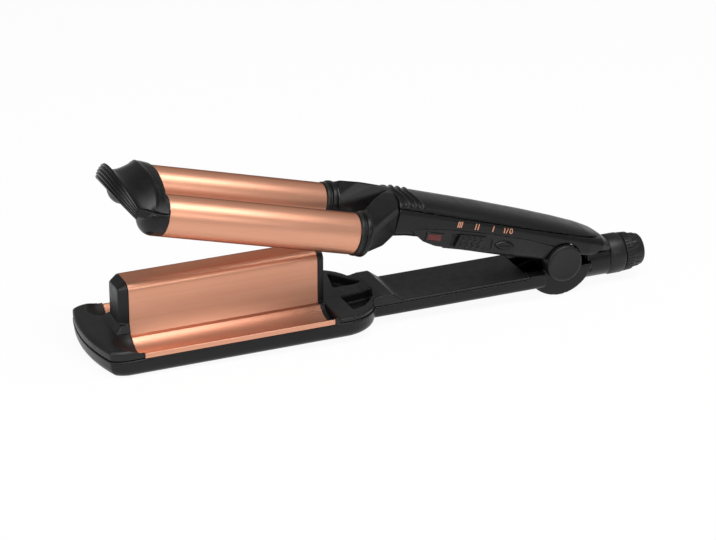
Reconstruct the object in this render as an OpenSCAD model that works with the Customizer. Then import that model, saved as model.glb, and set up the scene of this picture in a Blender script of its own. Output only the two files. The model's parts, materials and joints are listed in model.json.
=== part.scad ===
// Hair waver: two heated barrels on the upper jaw close over a ridged wave plate on the lower jaw.
// Lengths are in millimetres.  Each jaw is drawn with the hinge axis on Y through the origin and
// the tip towards -X.  lower_jaw() lays the product on its toe and hinge belly, and upper_jaw()
// turns the upper half up by the open angle first.

/* [Jaw angle] */
// Angle between the jaws at the open stop
open_angle = 14.8; // [10:0.1:15]

/* [Barrels] */
// Outer diameter of each barrel
barrel_d = 22; // [19:0.5:24]
// Distance between the two barrel axes
barrel_pitch = 46; // [44:0.5:50]
// Exposed length of each barrel
barrel_len = 108.5; // [80:0.5:112]
// Distance from the hinge axis to the rear end of the barrels
barrel_start = 133.7; // [130:0.1:136]
// Height of the barrel axes above the hinge axis with the jaws parallel
barrel_rise = 6.8; // [5:0.1:9]
// Wall of each barrel
barrel_wall = 1.1; // [0.8:0.1:1.6]

/* [Wave plate] */
// Width of the centre ridge
ridge_w = 20; // [16:0.5:20]
// Height of the ridge above the hinge axis
ridge_top = 27.2; // [22:0.1:28]
// Radius of the two upper edges of the ridge
ridge_round = 5; // [3:0.5:7]
// Thickness of the plate
plate_t = 1.2; // [0.8:0.1:1.6]
// Distance from the hinge axis to the rear edge of the plate
plate_start = 141.7; // [140:0.1:160]
// Length of the plate
plate_len = 105.3; // [85:0.1:110]
// Height of the outer lip below the hinge axis
lip_drop = 1.5; // [0.5:0.1:2.5]
// Depth of the turned-down edge of the lip
lip_depth = 2.8; // [2:0.1:4]

/* [Tray] */
// Width of the lower jaw
tray_w = 68; // [64:1:76]
// Radius of the toe corners of the tray seen from above
toe_corner = 14; // [10:1:22]
// Radius of the rear corners of the tray seen from above
heel_corner = 23; // [16:1:26]
// Length of the front deck, from the front edge of the plate to the toe
front_deck_len = 23; // [18:0.5:40]
// Distance from the hinge axis to the rear edge of the tray
heel_reach = 111.5; // [106:0.5:118]
// Depth of the flat underside below the hinge axis
base_drop = 13.7; // [12:0.1:15]
// Radius of the rounded bottom edge
base_round = 4; // [3:0.5:6]
// How far the toe of the tray leans back at the bottom
toe_rake = 2; // [1:0.5:10]
// Wall of the moulded shells
wall = 2; // [1.6:0.1:2.6]

/* [Lower handle] */
// Width of the lower handle
strap_w = 35; // [32:0.5:38]
// Depth of its upper face below the hinge axis
strap_drop = 5.3; // [4.4:0.1:6]

/* [Upper handle] */
// Width of the upper handle
grip_w = 34.4; // [33:0.2:38]
// Distance from the hinge axis to the neck joint
neck_reach = 106; // [100:1:112]
// Distance from the hinge axis to the rear end of the upper handle
tail_reach = 30; // [28:0.5:32]

/* [Hinge] */
// Diameter of the hinge pin
pin_d = 5; // [4:0.5:6]
// Diameter of the two pivot caps
pivot_cap_d = 20.6; // [18:0.2:22]
// Distance between the outer faces of the two pivot caps
pivot_cap_span = 39; // [36:0.2:41]
// Radius of the belly under the hinge
belly_r = 20.6; // [18:0.2:22]
// Width of the belly
belly_w = 27; // [24:0.5:28]
// Width of the knuckle on the upper handle
knuckle_w = 8; // [6:0.5:10]

/* [Cord outlet] */
// Diameter of the fixed collar
collar_d = 22.4; // [20:0.2:24]
// Depth of the outlet axis below the hinge axis
outlet_drop = 7.6; // [6:0.1:8]
// Distance from the hinge axis to the front of the collar
collar_start = 33; // [32.5:0.5:36]
// Length of the fixed collar
collar_len = 10; // [9:0.5:14]
// Length of the swivel cap behind the collar
swivel_len = 12.5; // [12:0.5:20]
// Bore of the swivel cap for the cord
cord_bore = 7; // [6:0.5:8]

/* [Controls] */
// Length of the heat slider
slider_len = 19; // [15:0.5:20]
// Height of the heat slider
slider_h = 8; // [6:0.5:9]
// Distance from the hinge axis to the middle of the heat slider
slider_at = 59; // [58:0.5:60]
// Travel of the heat slider each way
slider_travel = 2.6; // [2:0.1:3]
// Length of the power button
button_len = 12; // [10:0.5:13]
// Height of the power button
button_h = 5.4; // [5:0.2:8]
// Distance from the hinge axis to the middle of the power button
button_at = 39; // [38:0.5:40]
// Travel of the power button
button_travel = 1; // [0.6:0.1:1.2]
// Length of the indicator lens
lens_len = 9.5; // [8:0.5:12]
// Height of the indicator lens
lens_h = 4.4; // [3:0.2:5]
// Distance from the hinge axis to the middle of the indicator lens
lens_at = 82; // [80:0.5:84]

/* [Fits] */
// Radial running clearance of the hinge and the swivel
running_gap = 0.05; // [0.02:0.01:0.1]
// Clearance between parts that slide past each other
sliding_gap = 0.3; // [0.2:0.05:0.4]
// Room round the ridge inside the tip cap
ridge_gap = 0.6; // [0.4:0.1:1]

/* [Hidden] */
$fn = 64;
eps = 0.01;

barrel_r = barrel_d / 2;
barrel_y = barrel_pitch / 2;
barrel_end = barrel_start + barrel_len;
valley_r = barrel_y - ridge_w / 2;
plate_end = plate_start + plate_len;
toe_reach = plate_end + front_deck_len;
// The lip lies level with the valley where the tray is too narrow for a flat edge beside it.
valley_side = barrel_rise - sqrt(max(pow(valley_r, 2) - pow(tray_w / 2 - barrel_y, 2), 0));
lip_top = min(-lip_drop, valley_side);
lip_bottom = lip_top - lip_depth;
deck_top = 1.2;
skirt_y = grip_w / 2 - wall;
outlet_z = -outlet_drop;
collar_end = collar_start + collar_len;
swivel_end = collar_end + swivel_len;

// Resting pose: the belly and the toe both touch the surface.
toe_contact = toe_reach - toe_rake - base_round;
rest_tilt = asin(belly_r / norm([toe_contact, base_drop])) - atan2(base_drop, toe_contact);
// The origin stands midway between the toe and the rear end of the swivel cap.
toe_x = toe_reach * cos(rest_tilt) + deck_top * sin(rest_tilt);
rear_x = swivel_end * cos(rest_tilt) + (outlet_drop + collar_d / 2 - 2.6) * sin(rest_tilt);
origin_x = (toe_x - rear_x) / 2;

BLACK = "#1c1c1e";
SATIN = "#2b2b2e";
COPPER = "#c98562";
STEEL = "#b9bcc0";

// ---------------------------------------------------------------- placing

module lower_jaw() {
    translate([origin_x, 0, belly_r]) rotate([0, -rest_tilt, 0]) children();
}

module upper_jaw() {
    lower_jaw() rotate([0, open_angle, 0]) children();
}

module both_sides() {
    for (side = [0, 1]) mirror([0, side, 0]) children();
}

// A rod along X from x0 to x1.
module rod_x(d, x0, x1) {
    translate([x0, 0, 0]) rotate([0, 90, 0]) cylinder(d = d, h = x1 - x0);
}

// A rod along Y from y0 to y1.
module rod_y(d, y0, y1) {
    translate([0, y0, 0]) rotate([-90, 0, 0]) cylinder(d = d, h = y1 - y0);
}

// Extrudes a section drawn in Y and Z along X from x0 to x1.
module along_x(x0, x1) {
    translate([x0, 0, 0]) rotate([90, 0, 90]) linear_extrude(x1 - x0) children();
}

// Extrudes a profile drawn in X and Z along Y from y0 to y1.
module along_y(y0, y1) {
    translate([0, y1, 0]) rotate([90, 0, 0]) linear_extrude(y1 - y0) children();
}

// ---------------------------------------------------------------- lower jaw

// Where the toe stands at height z: it leans back towards the bottom.
function toe_at(z) = -toe_reach + toe_rake * pow((deck_top - z) / (deck_top + base_drop), 2);

// Rounded plan of the tray at height z, drawn in by inset on every side.
module tray_plan(z, inset) {
    half = tray_w / 2;
    intersection() {
        hull() for (side = [-1, 1]) {
            translate([toe_at(z) + toe_corner, side * (half - toe_corner)]) circle(r = toe_corner - inset, $fn = 48);
            translate([-heel_reach - heel_corner, side * (half - heel_corner)])
                circle(r = heel_corner - inset, $fn = 48);
        }
        union() {
            translate([toe_at(z) + toe_sweep, 0]) circle(r = toe_sweep - inset, $fn = 160);
            translate([toe_at(z) + toe_sweep, -tray_w]) square([tray_len, 2 * tray_w]);
        }
    }
}

// Tray outline between two heights with a rounded bottom edge.
module tray_body(z_low, z_high, inset) {
    steps = 3;
    hull() {
        for (i = [0 : steps]) {
            a = 90 * i / steps;
            z = z_low + base_round * (1 - cos(a));
            translate([0, 0, z]) linear_extrude(eps) tray_plan(z, inset + base_round * (1 - sin(a)));
        }
        translate([0, 0, z_high - eps]) linear_extrude(eps) tray_plan(z_high, inset);
    }
}

// Section of the lower handle, drawn in by inset.
module strap_section(inset) {
    r = 3;
    half = strap_w / 2 - inset;
    low = -base_drop + 0.03 + inset;
    hull() {
        for (y = [-half + r, half - r]) translate([y, low + r]) circle(r = r);
        translate([-half, -strap_drop - 1]) square([2 * half, 1]);
    }
}

toe_sweep = 100;
tray_len = toe_reach - heel_reach;
strap_front = heel_reach + 6;
cavity_front = 20;
deck_seat = -strap_drop - 1.4;

module base_shell() color(BLACK) lower_jaw() {
    bore = pin_d + 0.02;
    difference() {
        union() {
            tray_body(-base_drop, lip_bottom - 0.2, 0);
            along_x(-strap_front, -pivot_cap_d / 2 - 0.4) strap_section(0);
            intersection() {
                rod_y(2 * belly_r, -belly_w / 2, belly_w / 2);
                translate([-50, -50, -60]) cube([100, 100, 60 - strap_drop]);
            }
            rod_y(pivot_cap_d, -belly_w / 2, belly_w / 2);
            translate([0, 0, outlet_z]) rod_x(collar_d - 1, 2, collar_start);
        }
        tray_body(-base_drop + wall, lip_bottom + 5, wall);
        along_x(-strap_front - 4.3, -cavity_front) strap_section(wall);
        intersection() {
            along_x(-cavity_front - 1, belly_r) strap_section(wall);
            translate([-60, -belly_w / 2 + 3, -40]) cube([120, belly_w - 6, 60]);
        }
        translate([0, 0, deck_seat]) linear_extrude(20) difference() {
            translate([-strap_front, -strap_w / 2 - 1]) square([strap_front - cavity_front, strap_w + 2]);
        }
        rod_y(2 * (belly_r - wall), -belly_w / 2 + 3, belly_w / 2 - 3);
        translate([0, 0, outlet_z]) rod_x(collar_d - 6, 0, collar_start + 1);
        rod_y(bore, -belly_w, belly_w);
        screw_places() {
            cylinder(d = screw_d + 0.2, h = 20);
            translate([0, 0, -eps]) cylinder(d = screw_head_d + 0.6, h = screw_head_h + 0.6);
        }
    }
    difference() {
        screw_places() cylinder(d = 8, h = base_drop - deck_foot - 0.1);
        screw_places() {
            translate([0, 0, -1]) cylinder(d = screw_d + 0.2, h = 20);
            translate([0, 0, -eps]) cylinder(d = screw_head_d + 0.6, h = screw_head_h + 0.6);
        }
    }
}

// Decks reach down to this depth inside the tray.
deck_foot = 9;
screw_d = 3;
screw_head_d = 5.4;
screw_head_h = 1.6;

// The four places where screws enter from below.
module screw_places() {
    for (at = [[-toe_reach + 10.5, 13], [-heel_reach - 19.5, 26]], s = [-1, 1])
        translate([at[0], s * at[1], -base_drop]) children();
}

module base_screws() color(STEEL) lower_jaw() screw_places() {
    translate([0, 0, 0.6]) cylinder(d = screw_head_d, h = screw_head_h);
    translate([0, 0, 0.6]) cylinder(d = screw_d, h = 9);
}

// Everything under the upper face of the wave plate, drawn in by inset.
module plate_region(inset) {
    half = ridge_w / 2;
    side = tray_w / 2 - inset;
    difference() {
        union() {
            for (s = [-1, 1]) translate([s * (half - ridge_round), ridge_top - ridge_round])
                circle(r = ridge_round - inset);
            translate([-half + ridge_round, -20]) square([ridge_w - 2 * ridge_round, ridge_top - inset + 20]);
            translate([-half + inset, -20]) square([ridge_w - 2 * inset, ridge_top - ridge_round + 20]);
            translate([-side, -20]) square([2 * side, 20 + lip_top - inset]);
        }
        for (s = [-1, 1]) {
            translate([s * barrel_y, barrel_rise]) circle(r = valley_r + inset, $fn = 96);
            if (inset < valley_r) translate([s * barrel_y - (s > 0 ? valley_r + inset : 0), barrel_rise])
                square([valley_r + inset, 40]);
        }
    }
}

module plate_section() {
    difference() {
        plate_region(0);
        plate_region(plate_t);
        translate([-tray_w, -40]) square([2 * tray_w, 40 + barrel_rise - valley_r - plate_t - 0.2]);
        for (s = [-1, 1]) translate([s * tray_w / 2 - plate_t - eps, -20]) square([2 * plate_t + 2 * eps, 20 + lip_bottom]);
    }
}

module wave_plate() color(COPPER) lower_jaw() along_x(-plate_end, -plate_start) plate_section();

// The region of plate_region that belongs to the ridge alone.
module ridge_section(inset, foot) {
    half = ridge_w / 2 - inset;
    r = max(ridge_round - inset, 1);
    top = ridge_top - inset;
    for (s = [-1, 1]) translate([s * (half - r), top - r]) circle(r = r);
    translate([-half + r, foot]) square([2 * (half - r), top - foot]);
    translate([-half, foot]) square([2 * half, top - r - foot]);
}

module nose_deck() color(SATIN) lower_jaw() difference() {
    intersection() {
        union() {
            hull() {
                translate([0, 0, lip_bottom]) linear_extrude(eps) tray_plan(lip_bottom, 0.4);
                translate([0, 0, deck_top - 1.6]) linear_extrude(eps) tray_plan(deck_top - 1.6, 0.4);
                translate([0, 0, deck_top - 0.5]) linear_extrude(eps) tray_plan(deck_top, 1.4);
                translate([0, 0, deck_top - eps]) linear_extrude(eps) tray_plan(deck_top, 3);
            }
            translate([0, 0, -deck_foot]) linear_extrude(deck_foot + deck_top - 1) tray_plan(-deck_foot, wall + 0.6);
        }
        translate([-toe_reach - 1, -50, -20]) cube([toe_reach - plate_end + 1, 100, 40]);
    }
    for (s = [-1, 1]) translate([-plate_end - 1, s * barrel_y, barrel_rise]) sphere(r = valley_r, $fn = 48);
    screw_places() cylinder(d = screw_d - 0.3, h = 9.8);
}

ridge_cap_len = 5;
ridge_cap_slope = 3.2;

module ridge_front_cap() color(SATIN) lower_jaw() hull() {
    along_x(-plate_end - 0.6, -plate_end) ridge_section(0, deck_top);
    along_x(-plate_end - ridge_cap_len, -plate_end - ridge_cap_len + 0.1) ridge_section(ridge_cap_slope, deck_top);
}

// A bulkhead with the whole profile of the plate closes its rear end.
module ridge_rear_cap() color(SATIN) lower_jaw() {
    along_x(-plate_start, -plate_start + 1.8) rear_cap_section(0);
    along_x(-plate_start + 1.8, -plate_start + rear_cap_len) rear_cap_section(0.8);
}

rear_cap_len = 3;

module rear_cap_section(inset) difference() {
    plate_region(inset);
    translate([-tray_w, -40]) square([2 * tray_w, 40 - deck_foot + 0.2]);
    for (s = [-1, 1]) translate([s * tray_w / 2 - wall - 0.6, -40]) square([2 * wall + 1.2, 40 + lip_bottom]);
}

rear_deck_top = -2;
saddle_top = -0.8;

module rear_deck() color(SATIN) lower_jaw() difference() {
    union() {
        intersection() {
            union() {
                translate([0, 0, lip_bottom]) linear_extrude(rear_deck_top - lip_bottom) tray_plan(0, 0.3);
                translate([0, 0, -deck_foot]) linear_extrude(deck_foot + rear_deck_top - 1) tray_plan(0, wall + 0.6);
            }
            translate([-plate_start + rear_cap_len, -50, -20]) cube([plate_start - rear_cap_len - heel_reach + 10, 100, 40]);
        }
        along_y(-strap_w / 2, strap_w / 2) polygon([[-strap_front - 6, deck_seat], [-strap_front - 6, rear_deck_top],
            [-heel_reach - 3, rear_deck_top], [-heel_reach + 3, saddle_top], [-heel_reach + 10, saddle_top],
            [-heel_reach + 16, -strap_drop], [-heel_reach + 16, deck_seat]]);
        translate([-strap_front, -strap_w / 2 + 0.1, deck_seat])
            cube([strap_front - cavity_front, strap_w - 0.2, 1.4]);
        translate([-strap_front, -strap_w / 2 + wall + 0.3, -deck_foot])
            cube([13, strap_w - 2 * wall - 0.6, deck_foot - strap_drop]);
    }
    translate([0, 0, pocket_floor]) linear_extrude(20) {
        polygon([[-122, 25.5], [-110, 6], [-126.5, 6]]);
        polygon([[-127.5, -7], [-108.7, -4.1], [-111.6, -12.8], [-119.9, -21.9], [-127.5, -24.6]]);
    }
    screw_places() cylinder(d = screw_d - 0.3, h = 9.8);
}

pocket_floor = -7;

module heater_seat() color("#d9d2c0") lower_jaw() {
    floor_z = -base_drop + wall;
    translate([-plate_end + 4, -ridge_w / 2 + plate_t + 1, floor_z])
        cube([plate_len - 8, ridge_w - 2 * plate_t - 2, 8 - 0.1]);
}

seat_top = -base_drop + wall + 8;

module ridge_heater() color(STEEL) lower_jaw() difference() {
    along_x(-plate_end + 6, -plate_start - 6) ridge_section(plate_t + 0.2, seat_top);
    translate([-plate_end, -1.7, seat_top + 3]) cube([plate_len, 3.4, 18]);
}

module ridge_ptc() color("#e8e4da") lower_jaw()
    translate([-plate_end + 14, -1.6, seat_top + 3.1]) cube([plate_len - 28, 3.2, 17.6]);

module thermal_fuse() color("#c9b458") lower_jaw()
    translate([0, 12.5, -base_drop + wall + 1.6]) rod_x(3.2, -190, -176);

// ---------------------------------------------------------------- hinge and outlet

module hinge_pin() color(STEEL) lower_jaw() rod_y(pin_d, -belly_w / 2 - 1.5, belly_w / 2 + 1.5);

module pivot_cap() {
    outer = pivot_cap_span / 2;
    difference() {
        union() {
            rod_y(pivot_cap_d, belly_w / 2, outer - 1);
            translate([0, outer - 1, 0]) rotate([-90, 0, 0]) cylinder(d1 = pivot_cap_d, d2 = pivot_cap_d - 2, h = 1);
        }
        rod_y(pin_d + 0.02, 0, belly_w / 2 + 1.6);
    }
}

module pivot_cap_far() color(SATIN) lower_jaw() pivot_cap();

module pivot_cap_near() color(SATIN) lower_jaw() mirror([0, 1, 0]) pivot_cap();

bush_d = 10;

module cord_collar() color(BLACK) lower_jaw() translate([collar_start, 0, outlet_z]) rotate([0, 90, 0])
    rotate_extrude() polygon([[bush_d / 2, 0], [collar_d / 2 - 0.8, 0], [collar_d / 2, 1.2],
        [collar_d / 2, collar_len - 1], [collar_d / 2 - 0.6, collar_len], [bush_d / 2, collar_len]]);

module swivel_bush() color("#c2a25a") lower_jaw() translate([collar_start + 2, 0, outlet_z]) rotate([0, 90, 0])
    rotate_extrude() polygon([[3.4, 0], [bush_d / 2, 0], [bush_d / 2, collar_len + 1.2], [3.4, collar_len + 1.2]]);

module swivel_cap() color(SATIN) lower_jaw() translate([collar_end + sliding_gap, 0, outlet_z]) rotate([0, 90, 0])
    difference() {
        union() {
            cylinder(d1 = collar_d - 0.4, d2 = collar_d - 1.4, h = 5.4);
            translate([0, 0, 5]) cylinder(d1 = collar_d - 3, d2 = collar_d - 5.2, h = swivel_len - 5 - sliding_gap);
        }
        translate([0, 0, -1]) cylinder(d = bush_d + 2 * running_gap, h = 3.2 + 1 + 0.2);
        translate([0, 0, -1]) cylinder(d = cord_bore, h = 40);
        translate([0, 0, swivel_len - 2.2]) cylinder(d1 = cord_bore, d2 = cord_bore + 4.4, h = 2.2);
    }

// ---------------------------------------------------------------- upper jaw: barrels and tip

module at_barrel(side) {
    translate([0, side * barrel_y, barrel_rise]) children();
}

module barrel(side) upper_jaw() at_barrel(side) difference() {
    rod_x(barrel_d, -barrel_end, -barrel_start);
    rod_x(barrel_d - 2 * barrel_wall, -barrel_end - 1, -barrel_start + 1);
}

module barrel_near() color(COPPER) barrel(-1);

module barrel_far() color(COPPER) barrel(1);

core_d = barrel_d - 2 * barrel_wall - 0.2;
ptc_t = 3;

module barrel_core(side) upper_jaw() at_barrel(side) difference() {
    rod_x(core_d, -barrel_end + 12, -barrel_start - 10);
    translate([-barrel_end, -7, -ptc_t / 2]) cube([barrel_len, 14, ptc_t]);
}

module barrel_core_near() color(STEEL) barrel_core(-1);

module barrel_core_far() color(STEEL) barrel_core(1);

module barrel_ptc(side) upper_jaw() at_barrel(side)
    translate([-barrel_end + 20, -6.9, -ptc_t / 2 + 0.1]) cube([barrel_len - 38, 13.8, ptc_t - 0.2]);

module barrel_ptc_near() color("#e8e4da") barrel_ptc(-1);

module barrel_ptc_far() color("#e8e4da") barrel_ptc(1);

barrel_collar_len = 3;

module barrel_collar(side) upper_jaw() at_barrel(side) {
    difference() {
        rod_x(barrel_d + 1.2, -barrel_start, -barrel_start + barrel_collar_len);
        rod_x(barrel_d - 8, -barrel_start - 1, -barrel_start + barrel_collar_len + 1);
    }
    difference() {
        rod_x(core_d, -barrel_start - 6, -barrel_start + 1);
        rod_x(barrel_d - 8, -barrel_start - 7, -barrel_start + 2);
    }
}

module barrel_collar_near() color(SATIN) barrel_collar(-1);

module barrel_collar_far() color(SATIN) barrel_collar(1);

hood_top = 24.6;
hood_rise = hood_top - barrel_rise - barrel_r;
hood_r = (pow(barrel_y, 2) + pow(hood_rise, 2)) / (2 * hood_rise);
nose_len = 12.2;
nose_round = 7.5;

// The visor runs forward from the hood to a ribbed lip between the two side rails.
visor_back = barrel_end + 0.05;
visor_half = barrel_y + barrel_r - 0.6;
lip_corner = [barrel_end + 16.3, 28];
lip_sag = 8.9;
rib_count = 4;
rib_step = 1.2;
rib_rise = 0.85;
visor_front = lip_corner[0] + lip_sag;
rim_top = 23;
rim_bend = 35.6;
rail_top = 13.1;
rail_t = 3.4;
rail_in = 21.6;
rail_slope = 8.5;
belly_top = 11.6;
belly_bend = 96;

// Room for the closed ridge under the hood, and the dish in its upper face.
ridge_room_top = hood_top - 2.1;
band_len = 6.8;
band_front = barrel_end + band_len;
dish_r = 23.2;
dish_floor = 20.8;
dish_ring = dish_floor + dish_r + hood_r - hood_top;
dish_at = barrel_end + 17;
bar_top = 9.4;

// A body that turns about the axis of the hood arch, drawn as half sections in radius and X.
module about_arch() translate([0, 0, hood_top - hood_r]) rotate([0, 90, 0]) rotate_extrude($fn = 128) children();

module ridge_room() {
    mouth = -barrel_end + 2;
    knee = -plate_end - 0.3;
    back = -plate_end - ridge_cap_len - 1.4;
    slope = ridge_cap_slope / (knee - back);
    difference() {
        translate([0, 0, ridge_room_top - ridge_top - ridge_gap])
            along_x(back, mouth) ridge_section(-ridge_gap, -20);
        along_y(-ridge_w, ridge_w) polygon([[knee + 3, ridge_room_top + 3 * slope],
            [back - 3, ridge_room_top - ridge_cap_slope - 3 * slope], [back - 3, ridge_room_top + 9],
            [knee + 3, ridge_room_top + 9]]);
    }
}

// Plan of the visor up to contour k of the lip: 0 is the outer edge and rib_count the inner rim.
module visor_plan(k) {
    sag = lip_sag - k * rib_step;
    r = (pow(lip_corner[1], 2) + pow(sag, 2)) / (2 * sag);
    intersection() {
        translate([-lip_corner[0] + 0.4 * k - sag + r, 0]) circle(r = r, $fn = 192);
        polygon([[-visor_back, -visor_half], [-visor_back, visor_half], [-barrel_end - 6, visor_half],
                 [-lip_corner[0], lip_corner[1]], [-visor_front, 0.7 * lip_corner[1]],
                 [-visor_front, -0.7 * lip_corner[1]], [-lip_corner[0], -lip_corner[1]],
                 [-barrel_end - 6, -visor_half]]);
    }
}

// Dished vault of the visor, with terraced ribs along its lip.
module vault() difference() {
    about_arch() translate([0, -visor_front - 1]) square([hood_r, visor_front + 1 - visor_back]);
    about_arch() intersection() {
        translate([dish_ring, -dish_at]) circle(r = dish_r, $fn = 160);
        translate([0, -visor_front - 2]) square([2 * hood_r, visor_front + 2 - band_front]);
    }
    for (k = [0 : rib_count - 1]) difference() {
        translate([-visor_front - 2, -50, 0]) cube([visor_front - barrel_end - 8, 100, 60]);
        translate([0, 0, rim_top - rim_bend]) rod_x(2 * (rim_bend - (rib_count - 1 - k) * rib_rise), -visor_front - 3, 0);
        translate([0, 0, -1]) linear_extrude(80) visor_plan(k + 1);
    }
}

module visor() difference() {
    union() {
        vault();
        both_sides() translate([-visor_back, rail_in, rail_top]) rotate([0, -rail_slope, 0])
            translate([-40, 0, -rail_t]) cube([45, 20, rail_t]);
    }
    translate([0, 0, belly_top - belly_bend]) rod_x(2 * belly_bend, -visor_front - 1, -band_front - 1.5);
}

module nose() difference() {
    union() {
        rod_x(barrel_d, -barrel_end - nose_len + nose_round, -barrel_end);
        translate([-barrel_end - nose_len, 0, 0]) rotate([0, 90, 0]) rotate_extrude() {
            translate([barrel_r - nose_round, nose_round]) intersection() {
                circle(r = nose_round);
                translate([0, -nose_round]) square(nose_round);
            }
            square([barrel_r - nose_round, nose_round]);
        }
    }
    translate([-band_front - 20, -20, bar_top - barrel_rise]) cube([20, 40, 20]);
}

module tip_cap() color(BLACK) upper_jaw() {
    difference() {
        union() {
            both_sides() at_barrel(1) nose();
            intersection() {
                visor();
                union() {
                    linear_extrude(80) visor_plan(rib_count + 0.05);
                    translate([-lip_corner[0] + 1.05, -50, 0]) cube([60, 100, 80]);
                }
                translate([0, 0, barrel_rise - 1.2]) linear_extrude(40) visor_plan(0);
            }
        }
        ridge_room();
    }
    both_sides() at_barrel(1) difference() {
        rod_x(core_d, -barrel_end - 1, -barrel_end + 8);
        rod_x(core_d - 5, -barrel_end - 2, -barrel_end + 9);
    }
}

module tip_grip() color(BLACK) upper_jaw() difference() {
    intersection() {
        visor();
        linear_extrude(80) visor_plan(0);
    }
    translate([0, 0, -1]) linear_extrude(80) visor_plan(rib_count);
    translate([-lip_corner[0] + 1, -50, -1]) cube([80, 100, 80]);
}

// ---------------------------------------------------------------- upper handle

// Half width, top and bottom of the upper handle at stations along its length.
grip_stations = [
    [-neck_reach, 0.5, 25.9, 3.4], [-98, 0.5, 25.4, 4.4], [-82, 0.5, 24.5, 4.6], [-51, 0.5, 22.8, 4],
    [-20, 0.5, 20.4, 3], [0, 0.49, 18.4, 2.5], [15, 0.47, 16.5, 3], [24, 0.42, 14.7, 3.6], [tail_reach, 0.34, 12.2, 4.4]
];

function sign_pow(v, p) = (v < 0 ? -1 : 1) * pow(abs(v), p);

// One ring of the handle: rounder above, squarer below.
function grip_ring(st, inset, n = 40) = [for (i = [0 : n - 1])
    let (a = 360 * i / n,
         half = st[1] * grip_w - inset,
         mid = (st[2] + st[3]) / 2,
         tall = (st[2] - st[3]) / 2 - inset,
         p = sin(a) > 0 ? 0.72 : 0.45)
    [st[0], half * sign_pow(cos(a), p), mid + tall * sign_pow(sin(a), p)]];

// Skins a list of rings, each with the same number of points, into one closed solid.
module loft(rings) {
    n = len(rings[0]);
    last = len(rings) - 1;
    polyhedron(
        points = [for (ring = rings) each ring],
        faces = concat(
            [[for (i = [0 : n - 1]) i]],
            [for (k = [0 : last - 1], i = [0 : n - 1])
                [k * n + i, (k + 1) * n + i, (k + 1) * n + (i + 1) % n, k * n + (i + 1) % n]],
            [[for (i = [n - 1 : -1 : 0]) last * n + i]]),
        convexity = 4);
}

module grip_body(inset) loft([for (st = grip_stations) grip_ring(st, inset)]);

seam_front = 20.6;
seam_slope = 0.05;

// Three grooves over the top of the handle, each swept back at the sides.
groove_pitch = 4.2;
groove_w = 1.5;
groove_depth = 1.2;
groove_slant = 16.7;

// Everything above the seam of the upper handle.
module above_seam(gap = 0) along_y(-30, 30)
    polygon([[-neck_reach - 1, seam_front + gap], [tail_reach + 20, seam_front - seam_slope * (neck_reach + tail_reach + 20) + gap],
             [tail_reach + 20, 60], [-neck_reach - 1, 60]]);

// Room round the tail of the lower jaw at the open stop.
module tail_room(gap) rotate([0, -open_angle, 0])
    translate([0, 0, outlet_z]) rod_x(collar_d - 1 + 2 * gap, -2, collar_start + 20);

module handle_top() color(BLACK) upper_jaw() difference() {
    intersection() {
        grip_body(0);
        above_seam();
    }
    difference() {
        grip_body(wall);
        translate([-neck_reach - 1, -50, 0]) cube([1 + wall, 100, 60]);
    }
    tail_room(0.4);
    difference() {
        for (i = [0 : 2]) both_sides() translate([-neck_reach + 1.4 + i * groove_pitch, -0.2, 12])
            rotate([0, 0, -groove_slant]) cube([groove_w, 15, 20]);
        grip_body(groove_depth);
    }
}

// Side outline of the switch panel, from the pointed front to the hinge.
module panel_outline() polygon([[-97, 9.7], [-90, 11.2], [-75, 12.1], [-51, 12.2], [-25, 11], [-8, 8.5],
    [-8, -1.6], [-35, -0.2], [-66, 1.4], [-80, 2], [-88, 4], [-93, 7]]);

hinge_room = pivot_cap_d / 2 + 0.6;

module handle_bottom() color(BLACK) upper_jaw() difference() {
    intersection() {
        grip_body(0);
        difference() {
            translate([-neck_reach, -50, -10]) cube([200, 100, 60]);
            above_seam();
        }
    }
    difference() {
        grip_body(wall);
        translate([-neck_reach - 1, -50, 0]) cube([1 + wall, 100, 60]);
    }
    along_y(-50, 50) panel_outline();
    rod_y(2 * hinge_room, -50, 50);
    translate([-14, -skirt_y + 0.4, -10]) cube([60, 2 * skirt_y - 0.8, 18]);
    tail_room(0.4);
}

module panel_body(inset) intersection() {
    along_y(-grip_w / 2 + 0.4 + inset, grip_w / 2 - 0.4 - inset) panel_outline();
    along_x(-100, 0) hull() {
        for (s = [-1, 1]) translate([s * (grip_w / 2 - 5.4 - inset), 4 + inset]) circle(r = 5);
        translate([-grip_w / 2 + 0.4 + inset, 10]) square([grip_w - 0.8 - 2 * inset, 6]);
    }
}

slider_run = slider_len + 2 * slider_travel + 1;
control_z = 7;
control_drop = 0.05;
button_depth = 3;

// Places a control on the near side wall, following the slope of the panel.
module at_control(at) translate([-at, -grip_w / 2, control_z - control_drop * (lens_at - at)]) children();

module switch_panel() color(SATIN) upper_jaw() difference() {
    panel_body(0);
    intersection() {
        along_y(-grip_w / 2 + 0.4 + wall, grip_w / 2 - 0.4 - wall) translate([0, wall]) panel_outline();
        translate([-92, -50, -20]) cube([92, 100, 60]);
    }
    rod_y(2 * hinge_room, -50, 50);
    at_control(slider_at) translate([0, 1, 0]) cube([slider_run, 4, slider_h - 2.4], center = true);
    at_control(slider_at) cube([slider_run, 1.8, slider_h + 0.6], center = true);
    at_control(button_at) rod_slot(button_len + 0.6, button_h + 0.6, -3, button_depth + button_travel + 0.2);
    at_control(lens_at) rod_slot(lens_len + 0.2, lens_h + 0.2, -3, wall + 1.4);
}

// A rounded slot through the near wall.
module rod_slot(length, height, y0, y1) along_y(y0, y1) hull() for (s = [-1, 1])
    translate([s * (length - height) / 2, 0]) circle(d = height);

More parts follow.
